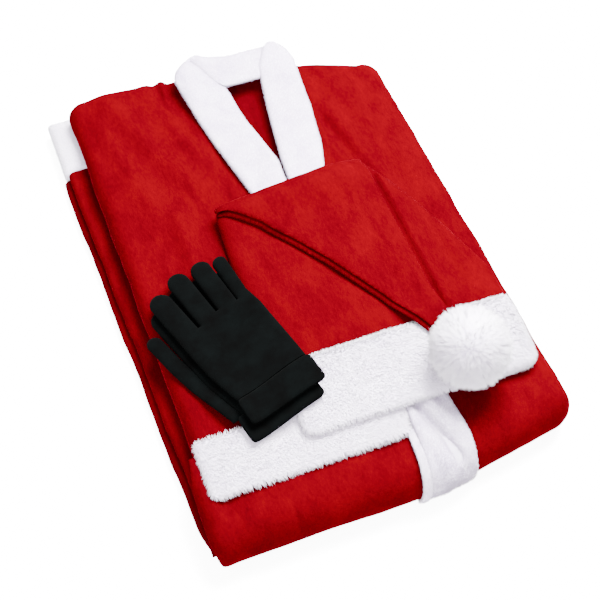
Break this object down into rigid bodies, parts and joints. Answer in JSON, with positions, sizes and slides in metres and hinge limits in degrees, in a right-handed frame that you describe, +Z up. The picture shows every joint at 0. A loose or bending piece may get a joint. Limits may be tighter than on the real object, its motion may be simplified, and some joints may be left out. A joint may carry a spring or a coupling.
{
  "type": "folded santa suit",
  "caption": "Folded costume bundle: red velvet robe coat with white plush trim, trousers inside, pompom hat with its tail turned over, and black gloves on top.",
  "frame": {"origin": "centre of the bundle's footprint box, on the surface that it rests on", "axes": "+Z up from the surface, +Y from the folded hem to the collar, +X to the right as seen from the hem, which is the side of the wide plain front"},
  "size_m": [0.4438, 0.6942, 0.1677],
  "materials": {
    "red_velvet": "short-pile velvet, satin sheen",
    "inner_red": "matt reverse of the velvet",
    "white_plush": "long-pile plush",
    "black_fleece": "matt brushed fleece"
  },
  "bodies": {
    "root": {"coat_back": "red_velvet", "coat_back_neck": "inner_red", "coat_front_left": "red_velvet", "coat_front_right": "red_velvet", "coat_skirt_left": "red_velvet", "collar_back": "white_plush", "collar_left": "white_plush", "collar_right": "white_plush", "folded_core": "inner_red", "front_band": "white_plush", "front_band_under": "white_plush", "glove_lower_back": "black_fleece", "glove_lower_cuff": "black_fleece", "glove_lower_palm": "black_fleece", "glove_lower_thumb": "black_fleece", "glove_upper_back": "black_fleece", "glove_upper_cuff": "black_fleece", "glove_upper_palm": "black_fleece", "hat_brim": "white_plush", "hat_crown": "red_velvet", "hat_crown_under": "red_velvet", "hat_pompom": "white_plush", "hat_tail": "red_velvet", "hat_tail_under": "red_velvet", "hem_band_left": "white_plush", "trouser_cuff_left": "white_plush", "trouser_cuff_right": "white_plush", "trouser_leg_lower": "red_velvet", "trouser_leg_upper": "red_velvet"}
  },
  "joints": []
}
